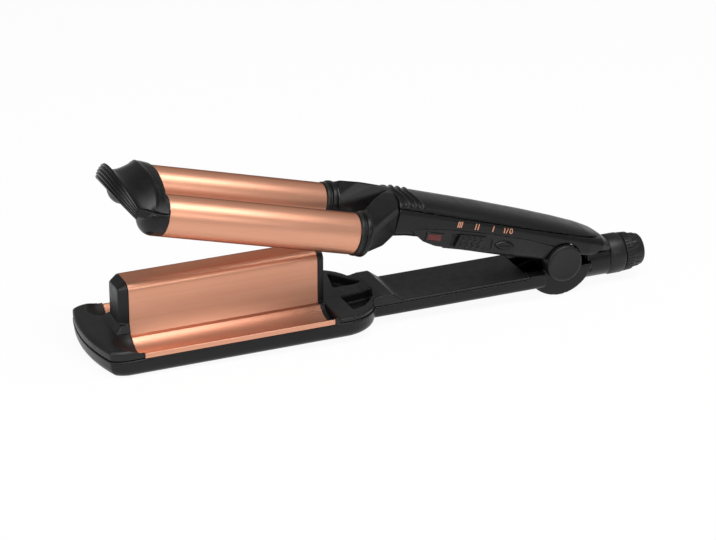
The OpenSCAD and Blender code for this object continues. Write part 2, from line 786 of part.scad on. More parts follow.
module heat_slider() color(SATIN) upper_jaw() at_control(slider_at) {
    difference() {
        translate([-slider_len / 2, -0.9, -slider_h / 2]) cube([slider_len, 1.6, slider_h]);
        for (row = [-1, 1], i = [-2 : 1]) translate([i * 3.6 + 2.4, -1.2, row * 1.9]) rotate([0, 18, 0])
            cube([1, 1.6, 2], center = true);
    }
    translate([-4, 0.6, -1.4]) cube([8, 3, 2.8]);
}

module power_button() color(BLACK) upper_jaw() at_control(button_at) difference() {
    rod_slot(button_len, button_h, -0.5, button_depth);
    translate([0, -9.6, 0]) sphere(r = 10);
}

module indicator_lens() color("#b23327") upper_jaw() at_control(lens_at)
    rod_slot(lens_len, lens_h, -0.1, 2);

module indicator_lamp() color("#dfe6ea") upper_jaw() at_control(lens_at) rod_y(3, 2.1, 5);

board_y = -grip_w / 2 + 7;

module circuit_board() color("#2f6b45") upper_jaw()
    translate([-80, board_y, 4.4]) cube([50, 1.6, 8]);

module slide_switch() color("#3c3f45") upper_jaw() at_control(slider_at)
    translate([-7, 4.1, -2.3]) cube([14, 7 - 4.2, 4.7]);

module push_switch() color("#3c3f45") upper_jaw() at_control(button_at)
    translate([-3, 4.2, -2.6]) cube([6, 7 - 4.3, 5.2]);

knuckle_d = 19;
knuckle_block = 13;

module hinge_knuckle() color(SATIN) upper_jaw() difference() {
    union() {
        rod_y(knuckle_d, -knuckle_w / 2, knuckle_w / 2);
        translate([-knuckle_block / 2, -knuckle_w / 2, 0]) cube([knuckle_block, knuckle_w, 15.3]);
    }
    rod_y(pin_d + 2 * running_gap, -20, 20);
    knuckle_screw_places() cylinder(d = knuckle_screw_d + 0.1, h = 12);
}

knuckle_screw_d = 2.2;

module knuckle_screw_places() for (s = [-1, 1]) translate([s * 3.6, 0, 8]) children();

module knuckle_screws() color(STEEL) upper_jaw() knuckle_screw_places() cylinder(d = knuckle_screw_d, h = 7.6);

spring_d = 9;
spring_wire = 1.2;
spring_turns = 4;
spring_pitch = 1.15;

// Points of the torsion spring: a leg, the coil and the second leg.
function spring_path() = let (r = spring_d / 2, steps = 14 * spring_turns)
    concat([[-18, 5.2, -8.5]],
        [for (i = [0 : steps]) let (a = 250 + 360 * i / 14) [r * cos(a), 5.2 + spring_pitch * i / 14, r * sin(a)]],
        [[-14.5, 5.2 + spring_pitch * spring_turns, 1]]);

module jaw_spring() color(STEEL) lower_jaw() tube(spring_path(), spring_wire / 2, 6);

function unit(v) = v / norm(v);

// Sweeps a round wire along a path.
module tube(path, r, sides) {
    last = len(path) - 1;
    rings = [for (i = [0 : last])
        let (t = unit(path[min(i + 1, last)] - path[max(i - 1, 0)]),
             side = unit(cross(t, [0, 1, 0.01])),
             other = cross(t, side))
        [for (k = [0 : sides - 1]) let (a = 360 * k / sides) path[i] + r * (cos(a) * side + sin(a) * other)]];
    loft(rings);
}

module neck_yoke() color(BLACK) upper_jaw() difference() {
    socket_start = -barrel_start + barrel_collar_len;
    shoulder = -neck_reach - 12;
    union() {
        both_sides() hull() {
            translate([0, 0, 0.6]) at_barrel(1) rod_x(barrel_d + 2.4, socket_start, socket_start + 2);
            translate([shoulder, barrel_y - 9, 13]) rotate([0, 90, 0]) cylinder(r = 10.6, h = 2);
            translate([-neck_reach - 5, 2, 5]) cube([5, grip_w / 2 - 5, 17]);
        }
        loft([grip_ring([shoulder + 1, 21.6 / grip_w, 24, 2], 0), grip_ring([shoulder + 6, 20.4 / grip_w, 24.8, 1.8], 0),
              grip_ring(grip_stations[0], 0)]);
    }
    both_sides() at_barrel(1) rod_x(barrel_d - 10, -barrel_start, socket_start + 3);
}

base_shell();
nose_deck();
rear_deck();
wave_plate();
ridge_front_cap();
ridge_rear_cap();
ridge_heater();
ridge_ptc();
heater_seat();
thermal_fuse();
base_screws();
hinge_pin();
pivot_cap_near();
pivot_cap_far();
cord_collar();
swivel_bush();
barrel_near();
barrel_far();
barrel_core_near();
barrel_core_far();
barrel_ptc_near();
barrel_ptc_far();
barrel_collar_near();
barrel_collar_far();
tip_cap();
tip_grip();
neck_yoke();
handle_top();
handle_bottom();
switch_panel();
hinge_knuckle();
knuckle_screws();
indicator_lens();
indicator_lamp();
circuit_board();
slide_switch();
push_switch();
jaw_spring();
heat_slider();
power_button();
swivel_cap();
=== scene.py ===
# %% [markdown]
# # A hair waver, dressed for the camera
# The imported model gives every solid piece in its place. This lesson loads it, sets up a small
# studio, and then works through the pieces one at a time: what each one is on the real tool, how
# it could be made, and why one way was picked.

# %% Load the solids and keep their box
import json
import math
from math import cos, pi, radians, sin, sqrt

import bpy
from mathutils import Matrix, Vector


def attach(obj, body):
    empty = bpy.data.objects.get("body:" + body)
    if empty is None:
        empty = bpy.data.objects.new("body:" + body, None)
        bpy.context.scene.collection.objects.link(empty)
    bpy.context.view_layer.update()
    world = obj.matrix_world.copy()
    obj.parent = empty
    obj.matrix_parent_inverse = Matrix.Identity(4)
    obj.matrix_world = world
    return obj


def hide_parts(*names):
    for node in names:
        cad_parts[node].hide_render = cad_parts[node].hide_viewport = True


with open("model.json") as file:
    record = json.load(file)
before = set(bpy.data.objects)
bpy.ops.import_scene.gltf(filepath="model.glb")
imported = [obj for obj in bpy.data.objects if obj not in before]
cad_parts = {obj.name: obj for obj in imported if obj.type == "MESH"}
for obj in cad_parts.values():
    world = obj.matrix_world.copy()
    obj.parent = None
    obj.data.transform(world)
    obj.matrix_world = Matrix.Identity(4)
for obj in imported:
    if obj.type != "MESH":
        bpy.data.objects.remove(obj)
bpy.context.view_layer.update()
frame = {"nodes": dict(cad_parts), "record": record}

# %% [markdown]
# ## Two jaws, two frames
# Each jaw is easiest to think about lying flat with the hinge pin at the origin and the tip
# towards -X. The lower jaw then leans a little to rest on its toe and belly, and the upper jaw
# turns up from it by the open angle. A matrix for each jaw carries a finished mesh to its place.

# %% Frames of the jaws
MM = 0.001
HINGE = Vector((107.017, 0, 20.6)) * MM
REST_TILT = radians(1.4987)
OPEN_ANGLE = radians(14.8)
LOWER = Matrix.Translation(HINGE) @ Matrix.Rotation(-REST_TILT, 4, "Y")
UPPER = LOWER @ Matrix.Rotation(OPEN_ANGLE, 4, "Y")
JAWS = {"lower_jaw": LOWER, "upper_jaw": UPPER, "heat_slider": UPPER, "power_button": UPPER,
        "swivel_cap": LOWER}
print("tip of the upper jaw:", [round(v, 4) for v in UPPER @ Vector((-0.268, 0, 0.012))])

# %% [markdown]
# ## The studio
# Black plastic shows its shape only by what it reflects, and coated metal shows its coating as
# long soft bands. Large soft lamps overhead and beside the tool give both of them that, and a
# dim even world fills in the rest. The floor is pale, so most of the picture is pale as well.

# %% Floor and world
def new_material(name):
    """A material with an empty node tree, its output and its node list."""
    material = bpy.data.materials.new(name)
    material.use_nodes = True
    tree = material.node_tree
    tree.nodes.clear()
    return material, tree, tree.nodes.new("ShaderNodeOutputMaterial")


def select_only(*objects):
    bpy.ops.object.select_all(action="DESELECT")
    for piece in objects:
        piece.select_set(True)
    bpy.context.view_layer.objects.active = objects[0]


FLOOR_WHITE = 0.86
FLOOR_GLOW = 0.94
WORLD_LIGHT = 0.28

bpy.ops.object.select_all(action="DESELECT")
bpy.ops.mesh.primitive_plane_add(size=14, location=(0, 0, 0))
floor = bpy.context.object
floor.name = "floor"
floor_paint, tree, out = new_material("floor_paint")
matte = tree.nodes.new("ShaderNodeBsdfDiffuse")
matte.inputs["Color"].default_value = (FLOOR_WHITE, FLOOR_WHITE, FLOOR_WHITE, 1)
glow = tree.nodes.new("ShaderNodeEmission")
rays = tree.nodes.new("ShaderNodeLightPath")
seen = tree.nodes.new("ShaderNodeMath")
seen.operation = "MAXIMUM"
tree.links.new(rays.outputs["Is Camera Ray"], seen.inputs[0])
tree.links.new(rays.outputs["Is Glossy Ray"], seen.inputs[1])
seen_through = tree.nodes.new("ShaderNodeMath")
seen_through.operation = "MAXIMUM"
tree.links.new(seen.outputs[0], seen_through.inputs[0])
tree.links.new(rays.outputs["Is Transmission Ray"], seen_through.inputs[1])
share = tree.nodes.new("ShaderNodeMath")
share.operation = "MULTIPLY"
share.inputs[1].default_value = FLOOR_GLOW
tree.links.new(seen_through.outputs[0], share.inputs[0])
mix = tree.nodes.new("ShaderNodeMixShader")
tree.links.new(share.outputs[0], mix.inputs[0])
tree.links.new(matte.outputs[0], mix.inputs[1])
tree.links.new(glow.outputs[0], mix.inputs[2])
tree.links.new(mix.outputs[0], out.inputs["Surface"])
floor.data.materials.append(floor_paint)

world = bpy.data.worlds.new("studio")
world.use_nodes = True
world.node_tree.nodes["Background"].inputs["Color"].default_value = (1, 1, 1, 1)
world.node_tree.nodes["Background"].inputs["Strength"].default_value = WORLD_LIGHT
bpy.context.scene.world = world
print("floor and world are in place")


# %% Soft lamps
def soft_lamp(name, place, aim, size, power):
    """A rectangular lamp at place that faces aim."""
    bpy.ops.object.light_add(type="AREA", location=place)
    lamp = bpy.context.object
    lamp.name = name
    lamp.data.shape = "RECTANGLE"
    lamp.data.size, lamp.data.size_y = size
    lamp.data.energy = power
    lamp.rotation_euler = (Vector(aim) - Vector(place)).to_track_quat("-Z", "Y").to_euler()
    return lamp


CENTRE = (0.0, 0.0, 0.05)
soft_lamp("lamp_over", (0.10, -0.42, 1.2), CENTRE, (1.5, 0.5), 13.5)
soft_lamp("lamp_left", (-1.2, -0.5, 0.75), CENTRE, (0.6, 0.9), 6)
soft_lamp("lamp_front", (0.15, -1.75, 0.95), CENTRE, (1.5, 0.4), 6)

# %% [markdown]
# ## The camera
# The camera stands in front and to the left, a little above the tool, with a long lens, so the
# jaws keep their proportions. Its turn is written as the three angles that Blender shows.

# %% Camera
CAMERA_PLACE = (-0.59925, -1.33466, 0.64632)
CAMERA_TURN = (66.976, -1.376, -23.321)
bpy.ops.object.camera_add(location=CAMERA_PLACE, rotation=[radians(a) for a in CAMERA_TURN])
camera = bpy.context.object
camera.data.sensor_width = 36
camera.data.lens = 149.33
bpy.context.scene.camera = camera
bpy.context.scene.view_settings.view_transform = "Standard"
print("camera at", CAMERA_PLACE)


# %% [markdown]
# ## Effects that several finishes share
# Moulded plastic has a fine grain and a slight unevenness in its shine. Coated metal has faint
# streaks along its length. Each of these is a node group that puts out numbers only, so that the
# shader itself stays in the material where its fixed values can be read.

# %% Node group: fine grain of moulded plastic
def group_with(name, inputs, outputs):
    """An empty node group with float sockets, its input node and its output node."""
    group = bpy.data.node_groups.new(name, "ShaderNodeTree")
    for label, start in inputs:
        group.interface.new_socket(name=label, in_out="INPUT",
                                   socket_type="NodeSocketFloat").default_value = start
    for label in outputs:
        group.interface.new_socket(name=label, in_out="OUTPUT", socket_type="NodeSocketFloat")
    return group, group.nodes.new("NodeGroupInput"), group.nodes.new("NodeGroupOutput")


def noise_in(tree, scale, detail, vector=None):
    noise = tree.nodes.new("ShaderNodeTexNoise")
    noise.inputs["Scale"].default_value = scale
    noise.inputs["Detail"].default_value = detail
    if vector is not None:
        tree.links.new(vector, noise.inputs["Vector"])
    return noise


def ranged(tree, value, low, high, to_low, to_high):
    """Maps a value from one range to another."""
    node = tree.nodes.new("ShaderNodeMapRange")
    for label, number in (("From Min", low), ("From Max", high),
                          ("To Min", to_low), ("To Max", to_high)):
        node.inputs[label].default_value = number
    tree.links.new(value, node.inputs["Value"])
    return node.outputs["Result"]


grain_group, group_in, group_out = group_with("moulding_grain", [("Grain Scale", 2600.0)],
                                              ["Grain", "Mottle", "Rub"])
place = grain_group.nodes.new("ShaderNodeTexCoord")
grain = noise_in(grain_group, 2600, 3, place.outputs["Object"])
grain_group.links.new(group_in.outputs["Grain Scale"], grain.inputs["Scale"])
mottle = noise_in(grain_group, 55, 4, place.outputs["Object"])
rub = noise_in(grain_group, 240, 6, place.outputs["Object"])
grain_group.links.new(grain.outputs["Fac"], group_out.inputs["Grain"])
grain_group.links.new(mottle.outputs["Fac"], group_out.inputs["Mottle"])
grain_group.links.new(rub.outputs["Fac"], group_out.inputs["Rub"])
print("group:", grain_group.name)


# %% Node group: lengthwise streaks of a drawn and coated sheet
streak_group, group_in, group_out = group_with("coating_streaks", [("Turn", 0.0)],
                                               ["Streaks", "Cloud"])
place = streak_group.nodes.new("ShaderNodeTexCoord")
turn = streak_group.nodes.new("ShaderNodeVectorRotate")
turn.rotation_type = "Y_AXIS"
streak_group.links.new(place.outputs["Object"], turn.inputs["Vector"])
streak_group.links.new(group_in.outputs["Turn"], turn.inputs["Angle"])
stretch = streak_group.nodes.new("ShaderNodeMapping")
stretch.inputs["Scale"].default_value = (0.02, 1, 1)
streak_group.links.new(turn.outputs["Vector"], stretch.inputs["Vector"])
streaks = noise_in(streak_group, 420, 3, stretch.outputs["Vector"])
cloud = noise_in(streak_group, 30, 3, place.outputs["Object"])
streak_group.links.new(streaks.outputs["Fac"], group_out.inputs["Streaks"])
streak_group.links.new(cloud.outputs["Fac"], group_out.inputs["Cloud"])
print("group:", streak_group.name)


# %% [markdown]
# ## Finishes
# One function makes every moulded plastic: its colour shifts a little with the mottle, its shine
# with the rub marks, and its grain lifts the surface. The black of such a tool is much darker than
# it looks, because a little light always comes back from its skin.

# %% Moulded plastics
def blend_colours(tree, factor, first, second):
    node = tree.nodes.new("ShaderNodeMix")
    node.data_type = "RGBA"
    node.inputs["A"].default_value = (*first, 1)
    node.inputs["B"].default_value = (*second, 1)
    tree.links.new(factor, node.inputs["Factor"])
    return node.outputs["Result"]


def principled(tree, out, **values):
    shader = tree.nodes.new("ShaderNodeBsdfPrincipled")
    for label, value in values.items():
        shader.inputs[label.replace("_", " ")].default_value = value
    tree.links.new(shader.outputs[0], out.inputs["Surface"])
    return shader


def lift(tree, shader, height, distance):
    """Feeds a height into the shader's normal; distance is in metres."""
    bump = tree.nodes.new("ShaderNodeBump")
    bump.inputs["Strength"].default_value = 1
    bump.inputs["Distance"].default_value = distance
    tree.links.new(height, bump.inputs["Height"])
    tree.links.new(bump.outputs["Normal"], shader.inputs["Normal"])


def grain_of(tree, scale):
    node = tree.nodes.new("ShaderNodeGroup")
    node.node_tree = grain_group
    node.inputs["Grain Scale"].default_value = scale
    return node


def moulded_plastic(name, deep, light, shine, specular=0.25, grain_depth=0.00001,
                    grain_scale=2600.0):
    """Plastic with a colour from deep to light and a roughness over the pair shine."""
    material, tree, out = new_material(name)
    skin = grain_of(tree, grain_scale)
    shader = principled(tree, out, Specular_IOR_Level=specular)
    mottled = ranged(tree, skin.outputs["Mottle"], 0.3, 0.7, 0, 1)
    tree.links.new(blend_colours(tree, mottled, deep, light), shader.inputs["Base Color"])
    tree.links.new(ranged(tree, skin.outputs["Rub"], 0.3, 0.7, *shine), shader.inputs["Roughness"])
    lift(tree, shader, skin.outputs["Grain"], grain_depth)
    return material


matt_black = moulded_plastic("matt_black", (0.0025, 0.0025, 0.0028), (0.005, 0.005, 0.0055),
                             (0.30, 0.38), 0.32)
satin_black = moulded_plastic("satin_black", (0.006, 0.006, 0.0065), (0.010, 0.010, 0.011),
                              (0.36, 0.46), 0.35)
gloss_black = moulded_plastic("gloss_black", (0.004, 0.004, 0.004), (0.006, 0.006, 0.006),
                              (0.12, 0.22), 0.4, 0.000002)
seat_polymer = moulded_plastic("seat_polymer", (0.55, 0.50, 0.38), (0.64, 0.58, 0.46), (0.5, 0.6))
lamp_epoxy = moulded_plastic("lamp_epoxy", (0.42, 0.05, 0.04), (0.5, 0.07, 0.05), (0.1, 0.2))
board_green = moulded_plastic("board_green", (0.01, 0.09, 0.035), (0.02, 0.12, 0.05), (0.3, 0.45))
switch_grey = moulded_plastic("switch_grey", (0.03, 0.032, 0.036), (0.05, 0.052, 0.058), (0.4, 0.5))
ceramic = moulded_plastic("ceramic", (0.68, 0.66, 0.62), (0.76, 0.74, 0.70), (0.55, 0.7), 0.5,
                          0.00002, 1500.0)
print("plastics:", len(bpy.data.materials) - 1)


# %% Metals and the copper coating
STREAK_DEPTH = 0.000001


def metal(name, deep, light, shine, turn=0.0, metallic=1.0, edge_shade_colour=None):
    """Metal with streaks along the jaw, turned by the angle at which that jaw lies.

    With a colour for painted shade, the metal darkens towards it where it turns away from the eye,
    and its specular tint takes the same dark colour, which dims the reflection at those edges too.
    """
    material, tree, out = new_material(name)
    skin = tree.nodes.new("ShaderNodeGroup")
    skin.node_tree = streak_group
    skin.inputs["Turn"].default_value = turn
    shader = principled(tree, out, Metallic=metallic)
    streaked = ranged(tree, skin.outputs["Streaks"], 0.25, 0.75, 0, 1)
    colour = blend_colours(tree, streaked, deep, light)
    if edge_shade_colour:
        # Painted shade: the colour slides towards the dark colour where the surface turns away from
        # the eye.
        weight = tree.nodes.new("ShaderNodeLayerWeight")
        mix = tree.nodes.new("ShaderNodeMix")
        mix.data_type = "RGBA"
        painted_edge_shade = ranged(tree, weight.outputs["Facing"], 0.62, 0.98, 0, 0.85)
        tree.links.new(painted_edge_shade, mix.inputs["Factor"])
        tree.links.new(colour, mix.inputs["A"])
        mix.inputs["B"].default_value = (*edge_shade_colour, 1)
        colour = mix.outputs["Result"]
        # Painted shade in the reflection: the dark specular tint dims the metal's edges.
        shader.inputs["Specular Tint"].default_value = (*edge_shade_colour, 1)
    tree.links.new(colour, shader.inputs["Base Color"])
    tree.links.new(ranged(tree, skin.outputs["Cloud"], 0.3, 0.7, *shine),
                   shader.inputs["Roughness"])
    lift(tree, shader, skin.outputs["Streaks"], STREAK_DEPTH)
    return material


COPPER_DEEP, COPPER_LIGHT = (0.72, 0.345, 0.222), (0.78, 0.39, 0.26)
# The dark brown of the painted shade on the copper's edges.
COPPER_EDGE_SHADE = (0.20, 0.060, 0.022)
COPPER_SHINE, COPPER_METALLIC = (0.35, 0.41), 0.78
copper_plate = metal("copper_plate", COPPER_DEEP, COPPER_LIGHT, COPPER_SHINE, REST_TILT,
                     COPPER_METALLIC, COPPER_EDGE_SHADE)
copper_barrel = metal("copper_barrel", COPPER_DEEP, COPPER_LIGHT, COPPER_SHINE,
                      REST_TILT - OPEN_ANGLE, COPPER_METALLIC, COPPER_EDGE_SHADE)
steel = metal("steel", (0.42, 0.43, 0.44), (0.52, 0.53, 0.54), (0.25, 0.35))
aluminium = metal("aluminium", (0.62, 0.63, 0.64), (0.72, 0.73, 0.74), (0.35, 0.45))
brass = metal("brass", (0.56, 0.40, 0.16), (0.66, 0.48, 0.22), (0.28, 0.38))
print("metals: 5")

# %% Red window
red_window, tree, out = new_material("red_window")
skin = grain_of(tree, 1800.0)
shader = principled(tree, out, Transmission_Weight=0.25, IOR=1.49)
reds = blend_colours(tree, skin.outputs["Mottle"], (0.10, 0.008, 0.007), (0.18, 0.014, 0.011))
tree.links.new(reds, shader.inputs["Base Color"])
tree.links.new(ranged(tree, skin.outputs["Rub"], 0.3, 0.7, 0.18, 0.3), shader.inputs["Roughness"])
lift(tree, shader, skin.outputs["Grain"], 0.000008)

# %% [markdown]
# ## Finishes on the solids
# Every solid names the slot that its finish comes from. The pieces that stay as solids take the
# finish of their slot here, and the ones that are modelled again later take it when they are made.

# %% Finishes by slot
FINISHES = {"matt_black": matt_black, "satin_black": satin_black, "gloss_black": gloss_black,
            "steel": steel, "aluminium": aluminium, "brass": brass, "ceramic": ceramic,
            "seat_polymer": seat_polymer, "lamp_epoxy": lamp_epoxy, "board_green": board_green,
            "switch_grey": switch_grey, "red_lens": red_window, "copper_coating": copper_plate}
SLOT_OF = {part["node"]: part["material_slot"] for part in frame["record"]["subparts"]}
for node_name, solid in frame["nodes"].items():
    finish = FINISHES[SLOT_OF[node_name]]
    if node_name.startswith("barrel_") and SLOT_OF[node_name] == "copper_coating":
        finish = copper_barrel
    solid.data.materials.clear()
    solid.data.materials.append(finish)
print("slots:", sorted(set(SLOT_OF.values())))

# %% [markdown]
# ## Moulded parts with rounded edges
# No moulded part has a knife edge: the tool that forms it is rounded, so every edge catches a thin
# line of light. Bevels on a solid with hundreds of small faces would tear, so these parts are
# copied, rebuilt as a skin of even small squares, and then relaxed until the edges are round. Both
# jaws are worked on lying flat, and each finished piece is carried to its place at the end.

# %% Copy, soften, settle
def edit(piece):
    """Goes into edit mode on one piece with all of it selected."""
    select_only(piece)
    bpy.ops.object.mode_set(mode="EDIT")
    bpy.ops.mesh.select_all(action="SELECT")


def leave():
    bpy.ops.object.mode_set(mode="OBJECT")


def flat_copy(node, name, body):
    """The mesh of a solid as one joined surface, laid flat in the frame of its jaw."""
    piece = bpy.data.objects.new(name, frame["nodes"][node].data.copy())
    bpy.context.scene.collection.objects.link(piece)
    piece.data.transform(JAWS[body].inverted())
    edit(piece)
    bpy.ops.mesh.remove_doubles(threshold=0.000002)
    leave()
    return piece


def apply_all(piece):
    select_only(piece)
    for step in list(piece.modifiers):
        bpy.ops.object.modifier_apply(modifier=step.name)


def soften(piece, voxel, passes):
    """Rebuilds the skin in squares of voxel millimetres and relaxes it."""
    squares = piece.modifiers.new("squares", "REMESH")
    squares.mode = "VOXEL"
    squares.voxel_size = voxel * MM
    relax = piece.modifiers.new("relax", "SMOOTH")
    relax.iterations = passes
    apply_all(piece)
    bpy.ops.object.shade_smooth()
    return piece


def crisp(piece, width, angle=30, segments=3):
    """Rounds the sharp edges by width millimetres and leaves flat faces flat."""
    bevel = piece.modifiers.new("edges", "BEVEL")
    bevel.width = width * MM
    bevel.segments = segments
    bevel.limit_method = "ANGLE"
    bevel.angle_limit = radians(angle)
    apply_all(piece)
    bpy.ops.object.shade_smooth_by_angle(angle=radians(angle + 5))
    return piece


def settle(piece, body, finish, slot, *nodes):
    """Carries a flat piece to its place, gives it its finish and lets it ride on its body."""
    piece.data.transform(JAWS[body])
    piece.data.materials.clear()
    piece.data.materials.append(finish)
    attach(piece, body)
    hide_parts(*nodes)
    print(piece.name, "faces:", len(piece.data.polygons))
    return piece


# %% [markdown]
# ## Turned pieces
# Barrels, collars, caps and screws are all round. One ring is drawn and then pulled out along its
# axis again and again, scaled at each step to the next radius, as on a lathe. A bevel on the sharp
# steps gives them the small edge radius of a real turned or moulded ring.

# %% A ring pulled through a profile
def turned(name, profile, sides=96, axis="X", closed=False):
    """Extrudes a ring through pairs of place and radius, in millimetres, along X or Y."""
    start, radius = profile[0]
    bpy.ops.object.select_all(action="DESELECT")
    bpy.ops.mesh.primitive_circle_add(vertices=sides, radius=radius * MM,
                                      location=(0, 0, start * MM))
    piece = bpy.context.object
    piece.name = name
    bpy.ops.object.transform_apply(location=True)
    edit(piece)
    for (a, r), (b, q) in zip(profile, profile[1:]):
        bpy.ops.mesh.extrude_region_move(TRANSFORM_OT_translate={"value": (0, 0, (b - a) * MM)})
        bpy.ops.transform.resize(value=(q / r, q / r, 1), center_override=(0, 0, b * MM))
    bpy.ops.mesh.select_all(action="SELECT")
    if closed:
        bpy.ops.mesh.remove_doubles(threshold=0.000001)
    else:
        bpy.ops.mesh.select_all(action="DESELECT")
        bpy.ops.mesh.select_non_manifold()
        bpy.ops.mesh.edge_face_add()
        bpy.ops.mesh.fill_holes(sides=0)
    bpy.ops.mesh.select_all(action="SELECT")
    bpy.ops.mesh.normals_make_consistent(inside=False)
    leave()
    turn_to = Matrix.Rotation(pi / 2, 4, "Y") if axis == "X" else Matrix.Rotation(-pi / 2, 4, "X")
    piece.data.transform(turn_to)
    return piece


def slide(piece, x=0.0, y=0.0, z=0.0):
    piece.data.transform(Matrix.Translation(Vector((x, y, z)) * MM))
    return piece


def join(*pieces):
    """Makes one piece out of several; the first keeps its name."""
    select_only(*pieces)
    bpy.ops.object.join()
    return bpy.context.object


def copy_of(piece, name):
    twin = bpy.data.objects.new(name, piece.data.copy())
    bpy.context.scene.collection.objects.link(twin)
    return twin


def mirrored(piece, name):
    """The same piece for the other side of the tool."""
    twin = copy_of(piece, name)
    twin.data.transform(Matrix.Scale(-1, 4, (0, 1, 0)))
    edit(twin)
    bpy.ops.mesh.normals_make_consistent(inside=False)
    leave()
    return twin


# %% [markdown]
# ## Barrels
# Each barrel is a thin drawn tube with its ends rolled in, sprayed with the copper coating. The
# collar behind it is a heat-proof ring with a groove, so that the hot tube never touches the yoke.

# %% Barrels and collars
BARREL_Y, BARREL_Z = 23.0, 6.8
BARREL_FRONT, BARREL_BACK = -242.2, -133.7
tube_profile = [(BARREL_FRONT, 9.9), (BARREL_FRONT, 10.5), (BARREL_FRONT + 0.25, 10.85),
                (BARREL_FRONT + 0.7, 11), (BARREL_BACK - 0.9, 11), (BARREL_BACK - 0.35, 10.85),
                (BARREL_BACK, 10.4), (BARREL_BACK, 9.9), (BARREL_FRONT, 9.9)]
collar_profile = [(BARREL_BACK + step, radius) for step, radius in
                  ((0, 7.2), (0, 11.0), (0.4, 11.5), (1.7, 11.6), (1.95, 11.45), (2.1, 11.1),
                   (2.4, 11.1), (2.55, 11.45), (2.9, 11.55), (3.1, 7.2), (0, 7.2))]
barrel = turned("barrel", tube_profile, 128, closed=True)
crisp(slide(barrel, y=-BARREL_Y, z=BARREL_Z), 0.1)
collar = turned("barrel_ring", collar_profile, 96, closed=True)
crisp(slide(collar, y=-BARREL_Y, z=BARREL_Z), 0.12)
for side in ("near", "far"):
    tube = copy_of(barrel, "tube_near") if side == "near" else mirrored(barrel, "tube_far")
    ring = copy_of(collar, "ring_near") if side == "near" else mirrored(collar, "ring_far")
    settle(tube, "upper_jaw", copper_barrel, "copper_coating", "barrel_" + side)
    settle(ring, "upper_jaw", satin_black, SLOT_OF["barrel_collar_near"], "barrel_collar_" + side)
for pattern in (barrel, collar):
    bpy.data.objects.remove(pattern)

# %% [markdown]
# ## Pivot caps, collar and swivel
# The pivot caps are plain discs with a soft rim and a faint turned step. The cord outlet has a wide
# fixed collar, and behind it the swivel cap with two rows of finger ribs.

# %% Pivot caps
cap_profile = [(13.5, 2.6), (13.5, 10.3), (18.3, 10.3), (18.9, 10.1), (19.3, 9.7), (19.5, 9.0),
               (19.5, 8.4), (19.42, 8.2), (19.42, 0.4)]
near_cap = turned("pivot_disc_near", cap_profile, 96, axis="Y")
near_cap.data.transform(Matrix.Scale(-1, 4, (0, 1, 0)))
edit(near_cap)
bpy.ops.mesh.normals_make_consistent(inside=False)
leave()
crisp(near_cap, 0.1)
far_cap = mirrored(near_cap, "pivot_disc_far")
settle(near_cap, "lower_jaw", satin_black, SLOT_OF["pivot_cap_near"], "pivot_cap_near")
settle(far_cap, "lower_jaw", satin_black, SLOT_OF["pivot_cap_far"], "pivot_cap_far")


# %% Collar and ribbed swivel cap
def ribs_on(piece, low, high, count, out):
    """Pulls every other face of a band between two places on the axis outwards."""
    mesh = piece.data
    edit(piece)
    bpy.ops.mesh.select_all(action="DESELECT")
    leave()
    for face in mesh.polygons:
        middle = face.center
        around = int((math.atan2(middle.y, middle.z) / (2 * pi) + 0.5) * count * 2 + 0.5)
        in_band = low * MM < middle.x < high * MM and abs(face.normal.x) < 0.5
        face.select = in_band and around % 2 == 0
    bpy.ops.object.mode_set(mode="EDIT")
    bpy.ops.mesh.inset(thickness=0.08 * MM, use_individual=False)
    bpy.ops.mesh.extrude_region_shrink_fatten(TRANSFORM_OT_shrink_fatten={"value": out * MM})
    leave()
    return piece


OUTLET_Z = -7.6
ring_profile = [(33, 5), (33, 10.3), (33.6, 10.9), (34.4, 11.2), (41.4, 11.2), (42.2, 11.0),
                (43, 10.4), (43, 5), (33, 5)]
fixed_ring = crisp(turned("outlet_ring", ring_profile, 96, closed=True), 0.12)
slide(fixed_ring, z=OUTLET_Z)
settle(fixed_ring, "lower_jaw", satin_black, SLOT_OF["cord_collar"], "cord_collar")
sleeve_profile = [(43.3, 5.05), (43.3, 10.5), (43.6, 10.85), (47.9, 10.55), (48.35, 10.2),
                  (48.5, 9.55), (52.6, 9.15), (54.6, 8.7), (55.3, 8.0), (55.5, 7.2), (55.5, 5.6),
                  (53.3, 3.5), (46.5, 3.5), (46.5, 5.05), (43.3, 5.05)]
swivel = turned("swivel_sleeve", sleeve_profile, 144, closed=True)
ribs_on(swivel, 43.8, 47.8, 36, -0.28)
ribs_on(swivel, 48.6, 52.5, 18, 0.22)
crisp(swivel, 0.1, segments=2)
settle(slide(swivel, z=OUTLET_Z), "swivel_cap", satin_black, SLOT_OF["swivel_cap"], "swivel_cap")

# %% [markdown]
# ## The wave plate
# The plate is one pressed sheet. Its edges are folded and its coating is the same as on the
# barrels. Only its edges need rounding, so the solid's own surface is kept and bevelled.

# %% Wave plate
plate = crisp(flat_copy("wave_plate", "pressed_plate", "lower_jaw"), 0.3, 35)
settle(plate, "lower_jaw", copper_plate, "copper_coating", "wave_plate")

# %% [markdown]
# ## The tray and its decks
# The lower jaw is one long moulding with a shallow tray at its front. Two decks close the tray
# before and behind the plate. They are separate mouldings, so a fine joint line runs between them.

# %% Blocks for building and cutting
def block(name, low, high, top=None):
    """A box between two corners; top draws the upper face in by (x front, x back, y)."""
    centre = [(a + b) / 2 * MM for a, b in zip(low, high)]
    bpy.ops.object.select_all(action="DESELECT")
    bpy.ops.mesh.primitive_cube_add(size=1, location=centre)
    piece = bpy.context.object
    piece.name = name
    piece.scale = [(b - a) * MM for a, b in zip(low, high)]
    bpy.ops.object.transform_apply(location=True, scale=True)
    if top:
        for vertex in piece.data.vertices:
            if vertex.co.z > centre[2]:
                vertex.co.x += (top[0] if vertex.co.x < centre[0] else -top[1]) * MM
                vertex.co.y += (top[2] if vertex.co.y < 0 else -top[2]) * MM
    return piece


